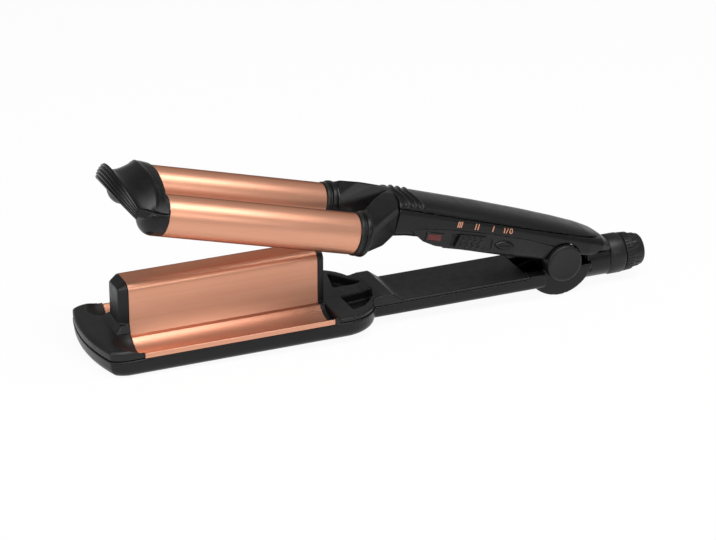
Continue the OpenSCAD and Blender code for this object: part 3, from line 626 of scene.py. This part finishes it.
def cut(piece, *cutters):
    """Takes the cutters out of the piece."""
    for cutter in cutters:
        step = piece.modifiers.new("cut", "BOOLEAN")
        step.operation = "DIFFERENCE"
        step.object = cutter
        apply_all(piece)
        bpy.data.objects.remove(cutter)
    return piece


# %% Tray, decks and caps
tray = soften(flat_copy("base_shell", "tray_moulding", "lower_jaw"), 0.6, 2)
settle(tray, "lower_jaw", matt_black, "matt_black", "base_shell")
front_deck = soften(flat_copy("nose_deck", "front_deck", "lower_jaw"), 0.4, 6)
settle(front_deck, "lower_jaw", satin_black, "satin_black", "nose_deck")
back_deck = soften(flat_copy("rear_deck", "back_deck", "lower_jaw"), 0.45, 5)
settle(back_deck, "lower_jaw", satin_black, "satin_black", "rear_deck")

# %% Cap and bulkhead of the ridge
front_cap = flat_copy("ridge_front_cap", "ridge_cap", "lower_jaw")
foot = block("foot", (-255.4, -12.6, 0.8), (-247.05, 12.6, 4.6), top=(3.6, 0, 2.4))
front_cap = soften(join(front_cap, foot), 0.3, 12)
settle(front_cap, "lower_jaw", satin_black, "satin_black", "ridge_front_cap")
bulkhead = flat_copy("ridge_rear_cap", "bulkhead", "lower_jaw")
edit(bulkhead)
bpy.ops.mesh.dissolve_limited(angle_limit=radians(0.5))
bpy.ops.mesh.select_all(action="SELECT")
bpy.ops.transform.shrink_fatten(value=0.55 * MM)
leave()
soften(bulkhead, 0.3, 3)
settle(bulkhead, "lower_jaw", satin_black, "satin_black", "ridge_rear_cap")

# %% [markdown]
# ## The yoke
# The yoke carries the barrels from the front of the handle. Each arm starts round behind its collar
# and ends in flat facets, like a cut stone. A few corner points of one arm are enough: their
# convex hull gives the facets, and the other arm is its mirror image.

# %% Arms of the yoke
def hull_of(name, points, rings=()):
    """The convex hull of points and of rings (x, y, z, radius), in millimetres."""
    corners = [Vector(p) for p in points]
    for x, y, z, radius in rings:
        corners += [Vector((x, y + radius * cos(a), z + radius * sin(a)))
                    for a in [2 * pi * k / 48 for k in range(48)]]
    mesh = bpy.data.meshes.new(name)
    mesh.from_pydata([corner * MM for corner in corners], [], [])
    piece = bpy.data.objects.new(name, mesh)
    bpy.context.scene.collection.objects.link(piece)
    edit(piece)
    bpy.ops.mesh.convex_hull()
    leave()
    return piece


NECK_FACE = [(-106, -16.4, 18.5), (-106, -16.9, 6.5), (-106, -12, 23.4), (-106, -6, 25.4),
             (-106, 0, 25.8), (-106, 0, 4), (-106, -13, 3.8)]
ARM_CORNERS = [(-121.6, -24.2, 14.1), (-115.5, -22.2, 13.9), (-108.2, -16.9, 21.4),
               (-119.5, -12, 24.4), (-113, -6, 25.7), (-126.7, -20, 21.6), (-123, -26.4, 1.6),
               (-114.5, -23.2, 1.9), (-111, -8, 2.2), (-120, -10, 4)]
COLLAR_RINGS = [(-130.6, -23, 7.2, 12.1), (-128.4, -23, 7.2, 12.3), (-127.4, -23, 7.3, 11.7)]
near_arm = hull_of("yoke_arms", NECK_FACE + ARM_CORNERS, rings=[(-127.6, -22.6, 7.6, 11.2)])
near_ring = hull_of("yoke_ring", [], rings=COLLAR_RINGS)
arm = join(near_arm, near_ring)
yoke = join(arm, mirrored(arm, "far_arm"))
bpy.ops.object.select_all(action="DESELECT")
bpy.ops.mesh.primitive_uv_sphere_add(segments=48, ring_count=32, radius=1,
                                     location=(-133 * MM, 0, 8 * MM))
scoop = bpy.context.object
scoop.scale = (17 * MM, 11.5 * MM, 13 * MM)
bpy.ops.object.transform_apply(location=True, scale=True)
evened = soften(yoke, 0.4, 1)
cut(evened, scoop)
soften(evened, 0.36, 3)
settle(evened, "upper_jaw", matt_black, "matt_black", "neck_yoke")

# %% [markdown]
# ## The handle
# The handle is two mouldings. The lid above has a soft crown and three grooves for the finger, and
# the lower half has flat sides. A fine seam runs between them from the yoke to the tail.

# %% Shape of the handle
# Place along the jaw, half width, top and bottom of the handle, in millimetres.
HANDLE_RINGS = [(-106, 17.2, 25.9, 3.4), (-98, 17.2, 25.4, 4.4), (-82, 17.2, 24.5, 4.6),
                (-51, 17.2, 22.8, 4.0), (-20, 17.2, 20.4, 3.0), (0, 16.9, 18.4, 2.5)]
CROWN_POWER, BELLY_POWER = 0.72, 0.45


def handle_point(x, angle, out=0.0):
    """A point on the skin of the handle; angle 0 is the near side and 90 degrees the top."""
    for one, two in zip(HANDLE_RINGS, HANDLE_RINGS[1:]):
        if x <= two[0]:
            break
    share = (x - one[0]) / (two[0] - one[0])
    half, top, low = [u + (v - u) * share for u, v in zip(one[1:], two[1:])]
    power = CROWN_POWER if sin(angle) > 0 else BELLY_POWER
    across, up = abs(cos(angle)) ** power, abs(sin(angle)) ** power
    return Vector((x, -(half + out) * math.copysign(across, cos(angle)),
                   (top + low) / 2 + ((top - low) / 2 + out) * math.copysign(up, sin(angle))))


def rod_along(name, path, radius, sides=12):
    """A round rod with closed ends along a list of points in millimetres."""
    curve = bpy.data.curves.new(name, "CURVE")
    curve.dimensions = "3D"
    curve.bevel_depth = radius * MM
    curve.bevel_resolution = sides // 4
    curve.use_fill_caps = True
    line = curve.splines.new("POLY")
    line.points.add(len(path) - 1)
    for knot, point in zip(line.points, path):
        knot.co = (*(point * MM), 1)
    rod = bpy.data.objects.new(name, curve)
    bpy.context.scene.collection.objects.link(rod)
    select_only(rod)
    bpy.ops.object.convert(target="MESH")
    return bpy.context.object


# %% Handle halves
SEAM_POINT, SEAM_NORMAL = Vector((-107, 0, 20.6)), Vector((0.05, 0, 1)).normalized()
SEAM_GAP = 0.2


def trim_at_seam(piece, keep_above):
    """Cuts a half of the handle back from the seam, so that a fine dark line shows there."""
    edit(piece)
    gap = SEAM_GAP if keep_above else -SEAM_GAP
    bpy.ops.mesh.bisect(plane_co=(SEAM_POINT + SEAM_NORMAL * gap) * MM, plane_no=SEAM_NORMAL,
                        use_fill=True, clear_inner=keep_above, clear_outer=not keep_above)
    leave()
    return piece


def over_the_top(name, top, out, radius, low=38):
    """A rod over the top of the handle from low degrees up, swept back at both sides."""
    path = [handle_point(top + GROOVE_SWEEP * abs(cos(radians(a))), radians(a), out)
            for a in range(low, 181 - low, 4)]
    return rod_along(name, path, radius)


GROOVES, GROOVE_STEP, GROOVE_SWEEP = 3, 4.2, 4.4
FIRST_RIDGE, FIRST_GROOVE = -103.1, -105.2
handle_lid = trim_at_seam(flat_copy("handle_top", "handle_lid", "upper_jaw"), True)
handle_lid = join(handle_lid, *[over_the_top("ridge", FIRST_RIDGE + GROOVE_STEP * k, -0.1, 0.85)
                                for k in range(GROOVES)])
soften(handle_lid, 0.34, 0)
cut(handle_lid, *[over_the_top("groove", FIRST_GROOVE + GROOVE_STEP * k, 0.25, 1.15, 36)
                  for k in range(GROOVES)])
soften(handle_lid, 0.34, 2)
settle(handle_lid, "upper_jaw", matt_black, "matt_black", "handle_top")
handle_side = trim_at_seam(flat_copy("handle_bottom", "handle_side", "upper_jaw"), False)
soften(handle_side, 0.34, 2)
settle(handle_side, "upper_jaw", matt_black, "matt_black", "handle_bottom")

# %% [markdown]
# ## The controls
# The side panel is a separate leaf-shaped moulding. It carries a red window in a glossy frame, a
# slider with two rows of chevrons, and an eye-shaped button with a groove for the nail.

# %% Side panel and window
PANEL_Y = -16.8
LEAN = 0.05
WINDOW_X, SLIDER_X, BUTTON_X = -82, -59, -39


def control_height(x):
    """Height of the controls, which follow the slope of the panel."""
    return 7 + LEAN * (x - WINDOW_X)


slider_z = control_height(SLIDER_X) - 1.6
button_z = 6.4
EYE_HALF, EYE_TALL = 6.0, 2.5
eye_radius = (EYE_HALF ** 2 + EYE_TALL ** 2) / (2 * EYE_TALL)
eye = []
for upper in (1, -1):
    for k in range(24):
        x = upper * EYE_HALF * (1 - 2 * k / 24)
        eye.append((x, upper * (sqrt(eye_radius ** 2 - x ** 2) - eye_radius + EYE_TALL)))
# The slot of the slider gets a backing, and the button a field with an opening of its own shape.
panel = join(flat_copy("switch_panel", "control_panel", "upper_jaw"),
             block("backing", (-75, PANEL_Y + 1.0, 1.2), (-45.5, PANEL_Y + 1.9, 10.6)),
             block("button_field", (-46.5, PANEL_Y + 0.02, 1.6), (-31.5, PANEL_Y + 1.6, 9.8)))
soften(panel, 0.3, 2)
cut(panel, hull_of("eye_opening", [(BUTTON_X + 1.04 * x, y, button_z + 1.06 * z) for x, z in eye
                                   for y in (PANEL_Y - 2, PANEL_Y + 2.6)]))
settle(panel, "upper_jaw", satin_black, SLOT_OF["switch_panel"], "switch_panel")


def window_block(name, half_length, half_height, front, back):
    """A block on the middle of the window, between two depths measured from the panel's face."""
    middle = control_height(WINDOW_X)
    return block(name, (WINDOW_X - half_length, PANEL_Y + front, middle - half_height),
                 (WINDOW_X + half_length, PANEL_Y + back, middle + half_height))


frame_ring = window_block("window_frame", 5.2, 2.7, -0.55, 0.4)
crisp(cut(frame_ring, window_block("opening", 4.1, 1.7, -1, 1)), 0.3)
settle(frame_ring, "upper_jaw", gloss_black, "gloss_black")
window = crisp(window_block("red_window", 4.3, 1.9, -0.25, 1.2), 0.25)
settle(window, "upper_jaw", red_window, "red_lens", "indicator_lens")

# %% Slider with chevrons
SLIDER_FACE, SLIDER_SLANT = PANEL_Y - 1.25, 0.28
slider = block("slider_cap", (-68.2, SLIDER_FACE, slider_z - 3.7),
               (-52.2, PANEL_Y + 0.3, slider_z + 3.7))
for vertex in slider.data.vertices:
    vertex.co.x += SLIDER_SLANT * (vertex.co.z - slider_z * MM)
slider_stem = block("stem", (-63, PANEL_Y + 0.2, slider_z - 1.4),
                    (-57, PANEL_Y + 0.9, slider_z + 1.4))
crisp(slider, 0.4)
slider_parts = [slider, slider_stem]
for row in (-1, 1):
    for column in range(4):
        x = -65.6 + 3.6 * column + 0.5 * row
        z = slider_z + row * 1.75
        arms = [Vector((x + along, SLIDER_FACE, z + up))
                for along, up in ((-0.9, 1.3), (0.9, 0), (-0.9, -1.3))]
        slider_parts.append(rod_along("chevron", arms, 0.5, 8))
slider = join(*slider_parts)
bpy.ops.object.shade_smooth_by_angle(angle=radians(35))
settle(slider, "heat_slider", satin_black, SLOT_OF["heat_slider"], "heat_slider")

# %% Eye-shaped button
# Depth from the panel's face, and the share of the eye's length and height at that depth.
EYE_LAYERS = [(0.95, 1, 1), (-0.35, 1, 1), (-0.9, 0.86, 0.80)]
button = hull_of("power_eye", [(BUTTON_X + x * wide, PANEL_Y + depth, button_z + z * tall)
                               for depth, wide, tall in EYE_LAYERS for x, z in eye])
nail = block("nail", (BUTTON_X - 3.6, PANEL_Y - 1.4, button_z - 0.3),
             (BUTTON_X + 3.6, PANEL_Y - 0.55, button_z + 0.5))
button = soften(cut(button, nail), 0.14, 2)
settle(button, "power_button", matt_black, SLOT_OF["power_button"], "power_button")

# %% [markdown]
# ## Marks
# The heat marks are printed on the handle side in the colour of the plate. Ink has almost no
# thickness, so each stroke is a thin bar that lies a hair above the skin.

# %% Printed marks
MARK_TALL = 3.3
INK_DEPTH, INK_RISE = 0.12, 0.34
marks = []


def stroke(x, z, width, tall, tilt=0.0):
    """A bar of a mark in the plane of the jaw, with enough points to follow the skin later."""
    bar = block("stroke", (x - width / 2, 0, z - tall / 2),
                (x + width / 2, INK_DEPTH, z + tall / 2))
    for vertex in bar.data.vertices:
        vertex.co.x += tilt * (vertex.co.z - z * MM)
    edit(bar)
    bpy.ops.mesh.subdivide(number_cuts=3)
    leave()
    marks.append(bar)


MARKS = [("III", -69, 15.7), ("II", -58.5, 15.4), ("I", -48.5, 15.2), ("I/O", -39.2, 14.9)]
for label, x, z in MARKS:
    if label == "I/O":
        stroke(x - 2.3, z, 0.6, MARK_TALL - 0.5)
        stroke(x - 0.6, z, 0.45, MARK_TALL - 0.3, 0.35)
        for side in (-1, 1):
            stroke(x + 1.8 + side * 0.75, z, 0.5, MARK_TALL - 1.5)
            stroke(x + 1.8, z + side * (MARK_TALL - 1.1) / 2, 1.3, 0.5)
    else:
        for k in range(len(label)):
            step = 1.05 if label == "III" else 1.6
            stroke(x + (k - (len(label) - 1) / 2) * step, z, 0.58, MARK_TALL, 0.12)
ink = join(*marks)
ink.name = "heat_marks"
for vertex in ink.data.vertices:
    at = vertex.co / MM
    ring_top, ring_low = handle_point(at.x, pi / 2).z, handle_point(at.x, -pi / 2).z
    rise = (at.z - (ring_top + ring_low) / 2) / ((ring_top - ring_low) / 2)
    angle = math.asin(min(max(rise, 0), 1) ** (1 / CROWN_POWER))
    lifted = INK_RISE if at.y < INK_DEPTH / 2 else 0.0
    vertex.co.y = (handle_point(at.x, angle).y - lifted) * MM
settle(ink, "upper_jaw", copper_barrel, "copper_coating")

# %% [markdown]
# ## The tip
# The tip joins the two barrels and keeps fingers off them. Below it has two round noses and side
# rails; above, a visor like the bowl of a spoon rises to a ribbed lip. The visor is a sheet: a
# flat grid is laid over four edge curves, dished between two of them, ribbed along the lip, and
# then given its wall.

# %% Noses and rails
tip = flat_copy("tip_cap", "tip_noses", "upper_jaw")
cut(tip, block("above", (-300, -40, 10.4), (-242.7, 40, 60)))
RAIL_ENDS = ((-257.6, (-23.5, -28.2)), (-243, (-20, -34)))
rail = hull_of("rail", [(x, y, z) for x, ys in RAIL_ENDS for y in ys for z in (6.2, 9.9)])
tip = join(tip, mirrored(rail, "far_rail"), rail)
soften(tip, 0.32, 3)
settle(tip, "upper_jaw", matt_black, "matt_black", "tip_cap")

# %% Visor
HOOD_TOP, HOOD_RADIUS, HOOD_SIDE_RADIUS = 24.6, 42.3, 11.25
LIP_RIBS = 5
RIB_DEPTH, LIP_BULGE, DISH_DEPTH, VISOR_WALL = 0.65, 1.2, 4.2, 1.3


def hood_height(y):
    """Height of the hood, which is an arch over both barrels and follows their outer sides."""
    y = abs(y)
    if y < BARREL_Y:
        return HOOD_TOP - HOOD_RADIUS + sqrt(HOOD_RADIUS ** 2 - y ** 2)
    return BARREL_Z + sqrt(max(HOOD_SIDE_RADIUS ** 2 - (y - BARREL_Y) ** 2, 0))


def visor_point(s, t):
    """A point of the visor: s runs from side to side, t from the lip's edge to the barrels."""
    out = abs(s)
    edge = Vector((-268.2 + 10.2 * out ** 2.3, 28 * s, 12.4 - 7.5 * out ** 2.2))
    crest = Vector((-265.4 + 8.2 * out ** 2.6, 27.4 * s, 21.8 - 11.6 * out ** 2.2))
    rim = Vector((-250.5 + 7.5 * s * s - 5.5 * out ** 6, 27.4 * s,
                  9.9 + 13.9 * max(1 - out ** 2.6, 0) ** 0.8))
    rear = Vector((-242.25, 33.4 * s, hood_height(33.4 * s)))
    if t < 1:
        point = edge.lerp(crest, t)
        rib = abs(sin(pi * LIP_RIBS * t)) - 0.4
        bulge = LIP_BULGE * sin(pi * t) * sqrt(1 - s * s)
        return point + Vector((-0.9, 0, 0.3)) * (RIB_DEPTH * rib + bulge)
    if t < 2:
        share = t - 1
        point = crest.lerp(rim, share)
        dish = max(1 - s * s, 0) ** 0.5 * max(sin(pi * share ** 0.8), 0) ** 0.9
        return point - Vector((0, 0, DISH_DEPTH * dish))
    share = t - 2
    point = rim.lerp(rear, share)
    swell = 0.6 * sin(pi * min(share * 3, 1)) + (0.2 + 2.2 * s * s) * sin(pi * share)
    return point + Vector((0, 0, swell * (1 - out ** 5)))


# The lip has most rows, for its ribs; the dish and the band behind the rim need fewer.
ROWS = ([k / 30 for k in range(30)] + [1 + k / 24 for k in range(24)]
        + [2 + k / 12 for k in range(13)])
COLUMNS = 96
bpy.ops.object.select_all(action="DESELECT")
bpy.ops.mesh.primitive_grid_add(x_subdivisions=len(ROWS) - 1, y_subdivisions=COLUMNS, size=1)
visor = bpy.context.object
visor.name = "tip_visor"
for vertex in visor.data.vertices:
    row = round((vertex.co.x + 0.5) * (len(ROWS) - 1))
    column = round((vertex.co.y + 0.5) * COLUMNS)
    vertex.co = visor_point(2 * column / COLUMNS - 1, ROWS[row]) * MM
wall = visor.modifiers.new("wall", "SOLIDIFY")
wall.thickness = VISOR_WALL * MM
wall.offset = -1
apply_all(visor)
bpy.ops.object.shade_smooth_by_angle(angle=radians(38))
settle(visor, "upper_jaw", matt_black, "matt_black", "tip_grip")
